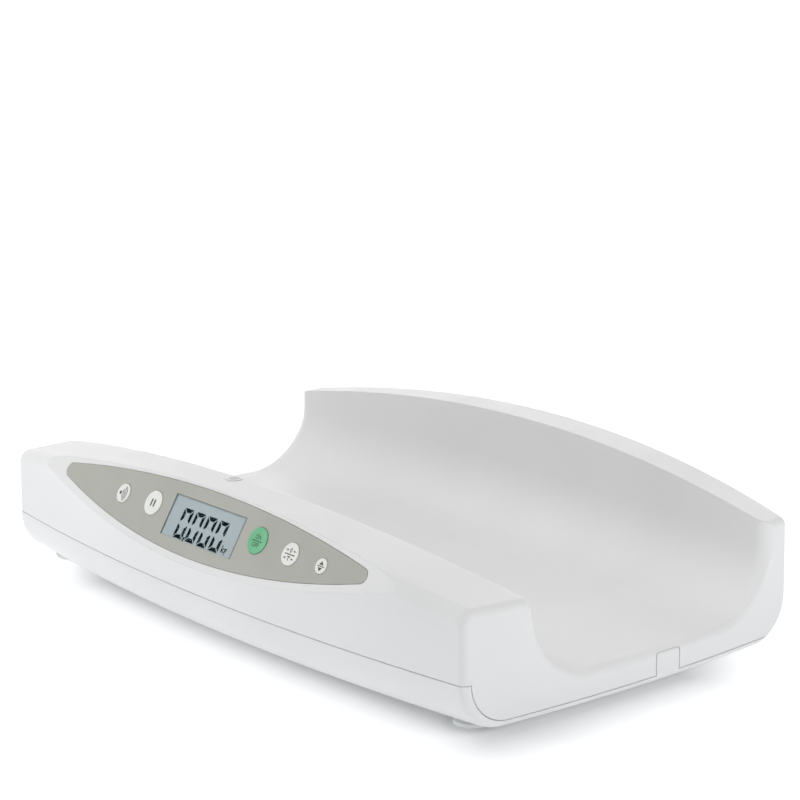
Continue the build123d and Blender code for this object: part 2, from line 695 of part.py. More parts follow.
def buzzer():
    return panel_disc(BUZZER_X, BUZZER_V, BOARD_BACK - BUZZER_HEIGHT, BOARD_BACK, BUZZER_R)


def level_cup():
    top = RIM_TOP_Z + LEVEL_PROUD
    flange_top = RIM_TOP_Z - WALL - 2 * FIT_GAP
    body = upright(LEVEL_X, LEVEL_Y, RIM_TOP_Z - LEVEL_DEPTH, top, LEVEL_R)
    body += upright(LEVEL_X, LEVEL_Y, flange_top - LEVEL_FLANGE_THICK, flange_top, LEVEL_R + LEVEL_FLANGE)
    inside = LEVEL_R - LEVEL_WALL
    return body - upright(LEVEL_X, LEVEL_Y, RIM_TOP_Z - LEVEL_DEPTH + LEVEL_WALL, top, inside)


def level_lens():
    top = RIM_TOP_Z + LEVEL_PROUD
    return upright(LEVEL_X, LEVEL_Y, top - LENS_THICK, top, LEVEL_R - LEVEL_WALL)


def level_fluid():
    top = RIM_TOP_Z + LEVEL_PROUD - LENS_THICK
    return upright(LEVEL_X, LEVEL_Y, RIM_TOP_Z - LEVEL_DEPTH + LEVEL_WALL, top, LEVEL_R - LEVEL_WALL)


def foot_stud(x, y):
    """Levelling screw with its disc, one piece."""
    disc = upright(x, y, PAD_THICK, PAD_THICK + DISC_THICK, DISC_R)
    hub = upright(x, y, PAD_THICK, POCKET_Z - FIT_GAP, HUB_R)
    return disc + hub + upright(x, y, PAD_THICK, STUD_TOP_Z, STUD_R)


def foot_pad(x, y):
    pad = upright(x, y, 0, PAD_THICK, PAD_R)
    return fillet(pad.edges().group_by(Axis.Z)[0], PAD_EDGE_R)


def cell_holder(x, y):
    length = CELL_LENGTH + 2 * HOLDER_RIM
    width = CELL_WIDTH + 2 * HOLDER_RIM
    ring = standing_box(x, y, CUP_TOP_Z, CELL_Z0, length, width)
    flex = standing_box(x, y, 0, SKY, CELL_LENGTH - 2 * HOLDER_RIM, CELL_WIDTH - 2 * HOLDER_RIM)
    return ring - flex


def load_cell(x, y):
    """Steel half-bridge plate: an E cut frees the middle tongue that the foot pushes up."""
    plate = standing_box(x, y, CELL_Z0, CELL_Z0 + CELL_THICK, CELL_LENGTH, CELL_WIDTH)
    slot_length = CELL_LENGTH - 2 * HOLDER_RIM - CELL_SLOT
    slot_y = (CELL_TONGUE + CELL_SLOT) / 2
    cuts = [standing_box(x, y + s * slot_y, 0, SKY, slot_length, CELL_SLOT) for s in (1, -1)]
    cuts.append(upright(x, y, 0, SKY, STUD_R + STUD_GAP))
    return plate - cuts


def battery_box():
    """Open-bottomed box over the cells."""
    outer_x = 2 * (BOX_HALF_X + BOX_WALL)
    outer_y = 2 * (BOX_HALF_Y + BOX_WALL)
    outer = standing_box(0, BAY_Y, BAY_RIM_Z, BOX_ROOF_Z + BOX_WALL, outer_x, outer_y)
    return outer - standing_box(0, BAY_Y, 0, BOX_ROOF_Z, 2 * BOX_HALF_X, 2 * BOX_HALF_Y)


def cell_rows():
    """Place of each battery across the bay and the way its nub points."""
    first = -(CELL_COUNT - 1) / 2
    return [(BAY_Y + (first + i) * CELL_PITCH, 1 if i % 2 else -1) for i in range(CELL_COUNT)]


def lying(x, y, z, length, radius):
    return Pos(x, y, z) * Rot(0, 90, 0) * Cylinder(radius, length)


def battery_cell(y, nub_side):
    body = lying(-nub_side * CELL_NUB / 2, y, CELL_Z, CELL_BODY, CELL_R)
    body = fillet(body.edges().filter_by(GeomType.CIRCLE), BOX_ROOF_GAP)
    return body + lying(nub_side * (CELL_SPAN - CELL_NUB) / 2, y, CELL_Z, CELL_NUB, CELL_NUB_R)


def battery_contacts():
    """Leaf behind each cell end with its spring or button pressed against the cell."""
    contacts = []
    reach = CONTACT_SPACE - CONTACT_LEAF
    for y, nub_side in cell_rows():
        for side in (1, -1):
            leaf_x = side * (BOX_HALF_X - CONTACT_LEAF / 2)
            leaf = standing_box(leaf_x, y, CELL_Z - CELL_R, BOX_ROOF_Z, CONTACT_LEAF, 1.6 * CELL_R)
            tip_r = CELL_NUB_R if side == nub_side else SPRING_R / 2
            base_r = 1.5 * CELL_NUB_R if side == nub_side else SPRING_R
            spring = Cone(base_r, tip_r, reach)
            turn = Rot(0, -90 * side, 0)
            contacts.append(leaf + Pos(side * (CELL_SPAN / 2 + reach / 2), y, CELL_Z) * turn * spring)
    return Compound(contacts)


def battery_cover():
    """Sliding cover with lips under the bay ledges, cell ribs inside and grip grooves."""
    plate_top = BASE_Z + COVER_THICK
    plate = standing_box(0, BAY_Y, BASE_Z, plate_top, 2 * COVER_HALF_X, 2 * COVER_HALF_Y)
    lip_span = 2 * (COVER_HALF_X + LIP_WIDTH)
    for place in lip_places():
        plate += standing_box(0, BAY_Y + place, plate_top, plate_top + LIP_THICK, lip_span, lip_length())
    for y in (BAY_Y - CELL_PITCH, BAY_Y + CELL_PITCH):
        rib_length = 2 * (BOX_HALF_X - RIB_THICK)
        plate += standing_box(0, y, plate_top, CELL_REST_Z, rib_length, RIB_THICK)
    for i in range(GRIP_COUNT):
        y = BAY_Y - COVER_HALF_Y + (i + 2) * GRIP_PITCH
        plate -= standing_box(0, y, 0, BASE_Z + GRIP_DEPTH, GRIP_LENGTH, GRIP_WIDTH)
    return plate


def case_screws():
    screws = []
    for x, y in post_places():
        shank = upright(x, y, SCREW_SEAT_Z - SCREW_HEAD, SCREW_TOP_Z, SCREW_R)
        screws.append(shank + upright(x, y, SCREW_SEAT_Z - SCREW_HEAD, SCREW_SEAT_Z, SCREW_HEAD_R))
    return Compound(screws)


def build_parts():
    block = housing_block(0)
    core = housing_block(WALL)
    groove = seam_groove()
    parts = {
        "upper_casing": upper_casing(block, core, groove),
        "base_pan": base_pan(block, core, groove),
        "panel_overlay": panel_overlay(),
        "display_window": display_window(),
        "lcd_glass": lcd_glass(),
        "lcd_frame": lcd_frame(),
        "zebra_strip_upper": zebra_strip(1),
        "zebra_strip_lower": zebra_strip(-1),
        "main_board": main_board(),
        "board_screws": board_screws(),
        "buzzer": buzzer(),
        "level_cup": level_cup(),
        "level_lens": level_lens(),
        "level_fluid": level_fluid(),
        "battery_box": battery_box(),
        "battery_contacts": battery_contacts(),
        "battery_cover": battery_cover(),
        "case_screws": case_screws(),
    }
    for name, x, v, radius in KEYS:
        parts["key_" + name] = key_cap(x, v, radius)
        parts["plunger_" + name] = plunger(x, v)
        parts["switch_" + name] = switch_housing(x, v)
    for name, x, y in FEET:
        parts["foot_stud_" + name] = foot_stud(x, y)
        parts["foot_pad_" + name] = foot_pad(x, y)
        parts["cell_holder_" + name] = cell_holder(x, y)
        parts["load_cell_" + name] = load_cell(x, y)
    for i, (y, nub_side) in enumerate(cell_rows()):
        parts[f"battery_cell_{i + 1}"] = battery_cell(y, nub_side)
    return parts


os.makedirs("parts", exist_ok=True)
for node, shape in build_parts().items():
    export_step(shape, f"parts/{node}.step")
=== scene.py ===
import json
import math

import bmesh
import bpy
from mathutils import Matrix, Vector


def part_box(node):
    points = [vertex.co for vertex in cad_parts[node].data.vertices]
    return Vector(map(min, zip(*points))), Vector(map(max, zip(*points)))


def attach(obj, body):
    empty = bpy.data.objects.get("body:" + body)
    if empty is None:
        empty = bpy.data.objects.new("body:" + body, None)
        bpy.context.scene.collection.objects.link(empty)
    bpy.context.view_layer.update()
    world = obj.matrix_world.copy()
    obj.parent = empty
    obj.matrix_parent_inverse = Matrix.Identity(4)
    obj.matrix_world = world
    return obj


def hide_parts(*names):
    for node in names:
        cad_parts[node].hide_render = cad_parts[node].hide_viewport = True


# Looks of the baby weighing scale: finishes for every CAD piece, the display and its reading with a
# painted shadow round the pane, the printed key legends, the bubble level with a painted reflection and
# highlight, painted shadows in the screw recesses, the floor with a painted shadow round the scale,
# light and camera. Metres, apart from outlines and named values that say millimetres.

MM = 0.001

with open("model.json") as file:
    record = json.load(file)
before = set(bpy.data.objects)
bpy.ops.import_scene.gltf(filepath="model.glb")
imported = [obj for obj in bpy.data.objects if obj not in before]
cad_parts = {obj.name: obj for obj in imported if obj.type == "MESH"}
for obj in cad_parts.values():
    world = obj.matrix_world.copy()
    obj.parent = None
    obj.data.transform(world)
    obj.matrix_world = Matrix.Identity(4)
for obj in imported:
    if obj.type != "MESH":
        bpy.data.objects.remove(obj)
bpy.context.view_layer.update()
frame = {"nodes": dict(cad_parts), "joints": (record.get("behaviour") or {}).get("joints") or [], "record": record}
nodes = frame["nodes"]

# The console facet: ACROSS runs along it, UP_SLOPE up it, and NORMAL out of it.
press = next(joint for joint in frame["joints"] if joint["name"] == "power_key_press")
NORMAL = -Vector(press["axis"]).normalized()
ACROSS = Vector((1, 0, 0))
UP_SLOPE = NORMAL.cross(ACROSS)

PRINT = 0.05 * MM           # thickness of a printed mark
HAIR = 0.01 * MM            # how deep a mark is sunk into what carries it


# ---------------------------------------------------------------- places read from the frame

def points_of(node):
    """Corners of a node's mesh."""
    return [vertex.co for vertex in nodes[node].data.vertices]


def middle_of(node):
    """Middle of a node's box."""
    low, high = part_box(node)
    return (low + high) / 2


def facet_place(node):
    """Middle of a node's outer face on the console, as a matrix whose z leaves the face."""
    middle = middle_of(node)
    top = max(point.dot(NORMAL) for point in points_of(node))
    spot = middle + NORMAL * (top - middle.dot(NORMAL))
    turn = Matrix((ACROSS, UP_SLOPE, NORMAL)).transposed().to_4x4()
    return Matrix.Translation(spot) @ turn


def solids_of(node):
    """Lowest and highest corner of each separate solid in a node."""
    mesh = bmesh.new()
    mesh.from_mesh(nodes[node].data)
    bmesh.ops.remove_doubles(mesh, verts=mesh.verts, dist=HAIR)
    seen, boxes = set(), []
    for start in mesh.verts:
        if start in seen:
            continue
        solid, waiting = [], [start]
        seen.add(start)
        while waiting:
            vertex = waiting.pop()
            solid.append(vertex.co)
            for link in vertex.link_edges:
                other = link.other_vert(vertex)
                if other not in seen:
                    seen.add(other)
                    waiting.append(other)
        low = Vector([min(co[i] for co in solid) for i in range(3)])
        high = Vector([max(co[i] for co in solid) for i in range(3)])
        boxes.append((low, high))
    mesh.free()
    return boxes


# ---------------------------------------------------------------- shader nodes

NOISE_LOW = 0.3             # nearly all of a noise texture lies between these
NOISE_HIGH = 0.7


def add_node(tree, kind, feeds, **choices):
    """New shader node. feeds holds a constant or another node's socket for each input named."""
    node = tree.nodes.new("ShaderNode" + kind)
    for name, value in choices.items():
        setattr(node, name, value)
    for label, value in feeds.items():
        if isinstance(value, bpy.types.NodeSocket):
            tree.links.new(value, node.inputs[label])
        else:
            node.inputs[label].default_value = value
    return node


class Finish:
    """A procedural material: a Principled shader with nodes for its colour, gloss and bump."""

    def __init__(self, name, ior=1.45, metallic=0.0):
        self.material = bpy.data.materials.new(name)
        self.material.use_nodes = True
        self.tree = self.material.node_tree
        self.shader = self.tree.nodes["Principled BSDF"]
        self.place = add_node(self.tree, "TexCoord", {}).outputs["Object"]
        self.set("IOR", ior)
        self.set("Metallic", metallic)

    def set(self, label, value):
        self.shader.inputs[label].default_value = value

    def feed(self, label, socket):
        self.tree.links.new(socket, self.shader.inputs[label])

    def stretched(self, x, y, z):
        """Object coordinates scaled along each axis."""
        feeds = {"Scale": (x, y, z), "Vector": self.place}
        return add_node(self.tree, "Mapping", feeds).outputs["Vector"]

    def noise(self, scale, detail=2.0, place=None):
        feeds = {"Scale": scale, "Detail": detail, "Vector": place or self.place}
        return add_node(self.tree, "TexNoise", feeds).outputs["Fac"]

    def cells(self, scale):
        feeds = {"Scale": scale, "Vector": self.place}
        return add_node(self.tree, "TexVoronoi", feeds).outputs["Distance"]

    def waves(self, scale, axis, distortion=0.0):
        feeds = {"Scale": scale, "Distortion": distortion, "Vector": self.place}
        return add_node(self.tree, "TexWave", feeds, bands_direction=axis).outputs["Fac"]

    def span(self, value, low, high, start=NOISE_LOW, end=NOISE_HIGH):
        """Spread value, from start to end, over low to high."""
        feeds = {"Value": value, "From Min": start, "From Max": end, "To Min": low, "To Max": high}
        return add_node(self.tree, "MapRange", feeds).outputs["Result"]

    def blend(self, value, *colours):
        """Colours laid evenly over the range that a noise value has."""
        node = add_node(self.tree, "ValToRGB", {"Fac": value})
        stops = node.color_ramp.elements
        stops.remove(stops[1])
        stops[0].position = NOISE_LOW
        stops[0].color = (*colours[0], 1)
        step = (NOISE_HIGH - NOISE_LOW) / (len(colours) - 1)
        for i, colour in enumerate(colours[1:], 1):
            stops.new(NOISE_LOW + step * i).color = (*colour, 1)
        return node.outputs["Color"]

    def bump(self, height, strength, depth, under=None):
        """Raise the surface by height times depth, over the normal given as under."""
        feeds = {"Height": height, "Strength": strength, "Distance": depth}
        if under:
            feeds["Normal"] = under
        self.feed("Normal", add_node(self.tree, "Bump", feeds).outputs["Normal"])

    def soft_edges(self, radius):
        """Normal that rounds every edge by radius in the shading."""
        return add_node(self.tree, "Bevel", {"Radius": radius}, samples=6).outputs["Normal"]


# ---------------------------------------------------------------- finishes

def casing_white():
    """Satin moulded ABS: a fine grain, slow gloss changes and a trace of mottling."""
    finish = Finish("moulded_white", ior=1.46)
    finish.set("Specular IOR Level", 0.32)
    finish.set("Coat Weight", 0.04)
    finish.set("Coat Roughness", 0.25)
    mottle = finish.noise(9.0, 4.0)
    finish.feed("Base Color", finish.blend(mottle, (0.79, 0.788, 0.789), (0.825, 0.822, 0.824)))
    finish.feed("Roughness", finish.span(finish.noise(35.0, 3.0), 0.36, 0.48))
    finish.bump(finish.noise(1800.0, 2.0), 0.10, 0.04 * MM, finish.soft_edges(1.2 * MM))
    return finish


def overlay_grey():
    """Satin printed film: an even warm grey with a very fine tooth."""
    finish = Finish("overlay_film")
    tone = finish.noise(14.0, 3.0)
    finish.feed("Base Color", finish.blend(tone, (0.405, 0.408, 0.365), (0.435, 0.438, 0.392)))
    finish.feed("Roughness", finish.span(finish.noise(60.0, 2.0), 0.42, 0.55))
    finish.bump(finish.noise(5200.0, 1.0), 0.12, 0.02 * MM)
    return finish


def clear_window():
    """Clear acrylic that hardly shows itself, with the faintest swirl of wiping marks."""
    finish = Finish("clear_acrylic", ior=1.15)
    finish.set("Base Color", (0.93, 0.97, 0.98, 1))
    finish.set("Specular IOR Level", 0.15)
    finish.set("Transmission Weight", 1.0)
    finish.set("Alpha", 0.15)
    finish.feed("Roughness", finish.span(finish.noise(220.0, 2.0), 0.0, 0.012))
    return finish


def lcd_glass():
    """Blue-grey reflective display cell whose tone drifts slowly."""
    finish = Finish("display_cell", ior=1.4)
    finish.set("Specular IOR Level", 0.25)
    slow = finish.noise(11.0, 2.0)
    finish.feed("Base Color", finish.blend(slow, (0.35, 0.408, 0.43), (0.415, 0.48, 0.50)))
    finish.feed("Roughness", finish.span(finish.noise(4000.0, 1.0), 0.3, 0.5))
    return finish


def inner_plastic():
    """Natural ABS with flow marks, on pieces that nobody sees once it is closed."""
    finish = Finish("natural_abs", ior=1.5)
    flow = finish.noise(40.0, 3.0, finish.stretched(0.3, 1, 1))
    finish.feed("Base Color", finish.blend(flow, (0.66, 0.65, 0.60), (0.74, 0.73, 0.68)))
    finish.feed("Roughness", finish.span(flow, 0.45, 0.6))
    finish.bump(finish.noise(1500.0, 2.0), 0.15, 0.05 * MM)
    return finish


def zebra_rubber():
    """Elastomer connector: thin carbon layers between clear ones."""
    finish = Finish("zebra_layers")
    layers = finish.waves(1400.0, "X")
    finish.feed("Base Color", finish.blend(layers, (0.02, 0.02, 0.022), (0.62, 0.62, 0.58)))
    finish.feed("Roughness", finish.span(finish.noise(300.0), 0.5, 0.7))
    return finish


def circuit_board():
    """Green solder mask over tracks that stand slightly proud."""
    finish = Finish("solder_mask", ior=1.5)
    tracks = finish.waves(210.0, "X", 6.0)
    green = ((0.008, 0.075, 0.028), (0.012, 0.10, 0.038), (0.02, 0.16, 0.06))
    finish.feed("Base Color", finish.blend(tracks, *green))
    finish.feed("Roughness", finish.span(finish.noise(500.0), 0.25, 0.4))
    finish.bump(tracks, 0.3, 0.04 * MM)
    return finish


def plated_steel():
    """Bright zinc plating with drawing lines."""
    finish = Finish("zinc_plate", metallic=1.0)
    lines = finish.noise(700.0, 3.0, finish.stretched(0.08, 1, 1))
    finish.feed("Base Color", finish.blend(lines, (0.56, 0.57, 0.58), (0.70, 0.71, 0.71)))
    finish.feed("Roughness", finish.span(lines, 0.24, 0.42))
    finish.bump(lines, 0.1, 0.02 * MM)
    return finish


def switch_metal():
    """Pressed tin-plated covers, duller than the screws."""
    finish = Finish("tin_plate", metallic=1.0)
    stain = finish.noise(420.0, 4.0)
    finish.feed("Base Color", finish.blend(stain, (0.50, 0.49, 0.46), (0.63, 0.62, 0.60)))
    finish.feed("Roughness", finish.span(stain, 0.35, 0.5))
    return finish


def black_plastic():
    """Spark-eroded black moulding."""
    finish = Finish("black_moulding", ior=1.5)
    grain = finish.noise(900.0, 3.0)
    finish.feed("Base Color", finish.blend(grain, (0.018, 0.018, 0.019), (0.034, 0.034, 0.035)))
    finish.feed("Roughness", finish.span(grain, 0.5, 0.65))
    finish.bump(grain, 0.2, 0.05 * MM)
    return finish


def key_white():
    """Satin white caps with a very fine tooth."""
    finish = Finish("key_white", ior=1.47)
    tone = finish.noise(120.0, 3.0)
    finish.feed("Base Color", finish.blend(tone, (0.80, 0.805, 0.765), (0.84, 0.845, 0.805)))
    finish.feed("Roughness", finish.span(finish.noise(260.0, 2.0), 0.28, 0.42))
    finish.bump(finish.noise(3800.0, 1.0), 0.08, 0.02 * MM)
    return finish


def key_green():
    """Satin green cap, slightly paler in patches where the colour thins."""
    finish = Finish("key_green", ior=1.47)
    tone = finish.noise(85.0, 2.0)
    finish.feed("Base Color", finish.blend(tone, (0.10, 0.43, 0.20), (0.145, 0.49, 0.255)))
    finish.feed("Roughness", finish.span(finish.noise(260.0, 2.0), 0.28, 0.42))
    finish.bump(finish.noise(3800.0, 1.0), 0.08, 0.02 * MM)
    return finish


def level_fluid():
    """Pale milky spirit in the bubble level."""
    finish = Finish("level_spirit", ior=1.36)
    finish.set("Base Color", (0.78, 0.80, 0.79, 1))
    finish.feed("Roughness", finish.span(finish.noise(600.0, 2.0), 0.02, 0.1))
    return finish


def stud_plastic():
    """White nylon; rings of bump up the stud stand for its screw thread."""
    finish = Finish("white_nylon", ior=1.53)
    finish.set("Subsurface Weight", 0.1)
    tone = finish.noise(160.0, 2.0)
    finish.feed("Base Color", finish.blend(tone, (0.64, 0.64, 0.61), (0.72, 0.72, 0.69)))
    finish.feed("Roughness", finish.span(tone, 0.35, 0.5))
    finish.bump(finish.waves(210.0, "Z"), 0.6, 0.4 * MM)
    return finish


def foot_rubber():
    """Soft white rubber with a dusty bloom."""
    finish = Finish("foot_rubber")
    finish.set("Sheen Weight", 0.25)
    bloom = finish.noise(210.0, 4.0)
    finish.feed("Base Color", finish.blend(bloom, (0.86, 0.865, 0.86), (0.90, 0.905, 0.90)))
    finish.feed("Roughness", finish.span(bloom, 0.65, 0.85))
    finish.bump(finish.noise(1300.0, 3.0), 0.3, 0.06 * MM)
    return finish


def battery_sleeve():
    """Dark printed sleeve with fine foil flakes."""
    finish = Finish("battery_sleeve", ior=1.5)
    finish.set("Coat Weight", 0.4)
    flakes = finish.cells(900.0)
    finish.feed("Base Color", finish.blend(flakes, (0.035, 0.037, 0.042), (0.09, 0.095, 0.11)))
    finish.feed("Roughness", finish.span(finish.noise(90.0), 0.22, 0.35))
    return finish


def print_and_painted_shade(name, dark, pale, shine=0.3):
    """Screen print, and the painted shadows drawn the same way: colour that thins unevenly, with little shine."""
    finish = Finish(name)
    finish.set("Specular IOR Level", shine)
    finish.feed("Base Color", finish.blend(finish.noise(1500.0, 3.0), dark, pale))
    finish.feed("Roughness", finish.span(finish.noise(2500.0, 2.0), 0.45, 0.65))
    return finish.material


def level_dome_painted_reflection():
    """Half-clear dome of the bubble level; its pale colour is a painted reflection, pale as the dome reads at a
    flat angle.
    """
    finish = Finish("level_dome_painted_reflection", ior=1.5)
    reflection_mottle = finish.noise(300.0)
    finish.feed("Base Color", finish.blend(reflection_mottle, (0.78, 0.79, 0.78), (0.82, 0.83, 0.82)))
    finish.feed("Roughness", finish.span(finish.noise(500.0, 2.0), 0.1, 0.2))
    finish.set("Alpha", 0.7)
    return finish.material


def bubble_painted_highlight():
    """The bubble, glossier than the spirit round it; its near-white colour is a painted highlight."""
    finish = Finish("level_bubble_highlight", ior=1.2)
    finish.set("Base Color", (0.95, 0.97, 0.96, 1))
    finish.feed("Roughness", finish.span(finish.noise(500.0), 0.0, 0.08))
    return finish.material


SLOT_FINISHES = [
    casing_white, overlay_grey, clear_window, lcd_glass, inner_plastic, zebra_rubber,
    circuit_board, plated_steel, switch_metal, black_plastic, key_white, key_green,
    level_fluid, stud_plastic, foot_rubber, battery_sleeve,
]


def dress_nodes():
    """Give every CAD node the finish that its material slot in the record names."""
    finishes = {make.__name__: make().material for make in SLOT_FINISHES}
    for part in frame["record"]["subparts"]:
        materials = nodes[part["node"]].data.materials
        materials.clear()
        materials.append(finishes[part["material_slot"]])


# ---------------------------------------------------------------- outlines

SHAFT_SHARE = 0.35          # of an arrow's head length, the width of its shaft
WING_SHARE = 0.75           # and half the width of its head


def disc(x, y, radius, steps=40):
    """Round outline about (x, y)."""
    turns = [2 * math.pi * i / steps for i in range(steps)]
    return [(x + radius * math.cos(t), y + radius * math.sin(t)) for t in turns]


def bar(x, y, length, width):
    """Level bar about (x, y)."""
    return [(x - length / 2, y - width / 2), (x + length / 2, y - width / 2),
            (x + length / 2, y + width / 2), (x - length / 2, y + width / 2)]


def arc_band(x, y, radius, width, start, end, steps=18):
    """Band of a ring about (x, y) from start to end, in degrees."""
    turns = [math.radians(start + (end - start) * i / steps) for i in range(steps + 1)]
    outer, inner = radius + width / 2, radius - width / 2
    return ([(x + outer * math.cos(t), y + outer * math.sin(t)) for t in turns]
            + [(x + inner * math.cos(t), y + inner * math.sin(t)) for t in reversed(turns)])


def triangle(x, y, width, height):
    """Triangle with its base at y - height / 2; a negative height points it down."""
    return [(x - width / 2, y - height / 2), (x + width / 2, y - height / 2), (x, y + height / 2)]


def arrow(x, y, length, head, way):
    """Outlines of a level arrow about (x, y); way is 1 to point right and -1 to point left."""
    tail, tip = x - way * length / 2, x + way * length / 2
    neck = tip - way * head
    wing = head * WING_SHARE
    shaft = bar((tail + neck) / 2, y, abs(neck - tail), head * SHAFT_SHARE)
    return [shaft, [(neck, y - wing), (tip, y), (neck, y + wing)]]


# ---------------------------------------------------------------- pieces

def finish_piece(name, mesh, place, body, material):
    """Turn a bmesh into a piece that rides on a body."""
    bmesh.ops.recalc_face_normals(mesh, faces=mesh.faces)
    data = bpy.data.meshes.new(name)
    mesh.to_mesh(data)
    mesh.free()
    data.transform(place)
    data.materials.append(material)
    piece = bpy.data.objects.new(name, data)
    bpy.context.scene.collection.objects.link(piece)
    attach(piece, body)
    return piece


def prism(mesh, outline, low, high):
    """Add the closed prism over a flat outline between two heights."""
    foot = [mesh.verts.new((x, y, low)) for x, y in outline]
    head = [mesh.verts.new((x, y, high)) for x, y in outline]
    mesh.faces.new(foot)
    mesh.faces.new(head)
    for i, start in enumerate(foot):
        j = (i + 1) % len(foot)
        mesh.faces.new((start, foot[j], head[j], head[i]))


def printed(name, outlines, place, body, material, thick=PRINT):
    """Thin raised mark from outlines in millimetres on the face at place, for print and for painted shadow."""
    mesh = bmesh.new()
    for outline in outlines:
        prism(mesh, [(x * MM, y * MM) for x, y in outline], -HAIR, thick)
    bmesh.ops.triangulate(mesh, faces=[face for face in mesh.faces if len(face.verts) > 4])
    return finish_piece(name, mesh, place, body, material)


def lettering(name, words, place, body, material, weight=0.0):
    """Words as (text, x, y, height, squeeze) in millimetres, each stroke thickened by weight."""
    mesh = bmesh.new()
    for text, x, y, height, squeeze in words:
        curve = bpy.data.curves.new(name, "FONT")
        curve.body = text
        curve.size = height * MM
        curve.align_x = "CENTER"
        curve.align_y = "CENTER"
        curve.extrude = HAIR
        curve.offset = weight * MM
        source = bpy.data.objects.new(name + "_source", curve)
        letters = bpy.data.meshes.new_from_object(source)
        shift = Matrix.Translation((x * MM, y * MM, 0))
        letters.transform(shift @ Matrix.Diagonal((squeeze, 1, 1, 1)))
        mesh.from_mesh(letters)
        bpy.data.objects.remove(source)
        bpy.data.meshes.remove(letters)
        bpy.data.curves.remove(curve)
    return finish_piece(name, mesh, place, body, material)


def plate(name, size, heights, rounding, place, body, material):
    """Flat plate with a rounded rim; size is its length and width, heights its low and high face."""
    low, high = heights
    mesh = bmesh.new()
    bmesh.ops.create_cube(mesh, size=1.0)
    for vertex in mesh.verts:
        height = high if vertex.co.z > 0 else low
        vertex.co = (vertex.co.x * size[0], vertex.co.y * size[1], height)
    bmesh.ops.bevel(mesh, geom=mesh.edges[:], offset=rounding, segments=2, affect="EDGES")
    return finish_piece(name, mesh, place, body, material)


def turned_piece(name, profile, place, body, material, steps=48):
    """Piece turned about the z axis of place from a profile of (radius, height)."""
    mesh = bmesh.new()
    rings = []
    for radius, height in profile:
        outline = [(0, 0)] if radius < HAIR else disc(0, 0, radius, steps)
        rings.append([mesh.verts.new((x, y, height)) for x, y in outline])
    for lower, upper in zip(rings, rings[1:]):
        for i in range(steps):
            j = (i + 1) % steps
            corners = [lower[i % len(lower)], lower[j % len(lower)],
                       upper[j % len(upper)], upper[i % len(upper)]]
            mesh.faces.new(list(dict.fromkeys(corners)))
    for face in mesh.faces:
        face.smooth = True
    return finish_piece(name, mesh, place, body, material)


# ---------------------------------------------------------------- display, in millimetres

PANE_THICK = 0.7            # of the clear pane over the display film
PANE_EDGE = 0.12            # rounding of the pane's rim
FILM_THICK = 0.2
FILM_GAP = 0.03             # between pane and film, where the reading is printed
SHADOW_TOP = 0.5              # width of the dark line of painted shadow round the pane, along its top
SHADOW_LEFT = 0.45
SHADOW_RIGHT = 1.2            # wider, since the recess hides its edge from the front right
DIGIT_WIDTH = 11.4
DIGIT_HEIGHT = 22.9
DIGIT_PITCH = 14.25
DIGIT_LEAN = 0.045          # sideways per unit of height
DIGITS_LEFT = -28.5         # left edge of the first digit from the middle of the display
DIGITS_FOOT = -15.0
SEGMENT_HIGH = 3.15         # thickness of the level segments
SEGMENT_WIDE = 3.15         # and of the upright ones
SEGMENT_CUT = 0.42          # that a level segment stays back from the digit's side
UPRIGHT_CUT = 0.63          # that an upright one stays back from its top or foot
MIDDLE_GAP = 2.0            # between the upper and lower upright segments
TIP_IN = 0.3 * SEGMENT_WIDE         # of an upright segment's tip from the digit's side
TIP_OUTER = 0.25 * SEGMENT_WIDE     # that its outer edge ends before the tip
TIP_INNER = 0.7 * SEGMENT_WIDE      # that its inner edge ends before the tip
POINT = [(-0.5, 2.6), (1.1, 2.6), (0.3, -0.8), (-1.1, -0.8)]    # outline of the decimal point
UNIT = ("kg", 31.4, DIGITS_FOOT + 4.0, 7.6, 0.95)               # text, middle, height, squeeze
UNIT_WEIGHT = 0.14


def zero_segments(left, foot):
    """Outlines of the six lit segments of a 0."""
    right = left + DIGIT_WIDTH
    top = foot + DIGIT_HEIGHT
    half = (foot + top) / 2
    outlines = []
    for y, way in ((top, -1), (foot, 1)):
        outlines.append([(left + SEGMENT_CUT, y), (right - SEGMENT_CUT, y),
                         (right - SEGMENT_WIDE - SEGMENT_CUT, y + way * SEGMENT_HIGH),
                         (left + SEGMENT_WIDE + SEGMENT_CUT, y + way * SEGMENT_HIGH)])
    for x, inward in ((left, 1), (right, -1)):
        for y, way in ((top, -1), (foot, 1)):
            start = y + way * UPRIGHT_CUT
            tip = half - way * MIDDLE_GAP / 2
            outlines.append([(x, start),
                             (x + inward * SEGMENT_WIDE, start + way * SEGMENT_HIGH),
                             (x + inward * SEGMENT_WIDE, tip - way * TIP_INNER),
                             (x + inward * TIP_IN, tip),
                             (x, tip - way * TIP_OUTER)])
    return outlines


def leaning(outlines):
    """Outlines sheared to the right above the digits' foot."""
    return [[(x + (y - DIGITS_FOOT) * DIGIT_LEAN, y) for x, y in outline] for outline in outlines]


def face_size(node):
    """Length and width of a node's flat outer face on the console, in metres."""
    points = points_of(node)
    top = max(point.dot(NORMAL) for point in points)
    face = [point for point in points if top - point.dot(NORMAL) < HAIR]
    sizes = []
    for axis in (ACROSS, UP_SLOPE):
        along = [point.dot(axis) for point in face]
        sizes.append(max(along) - min(along))
    return sizes


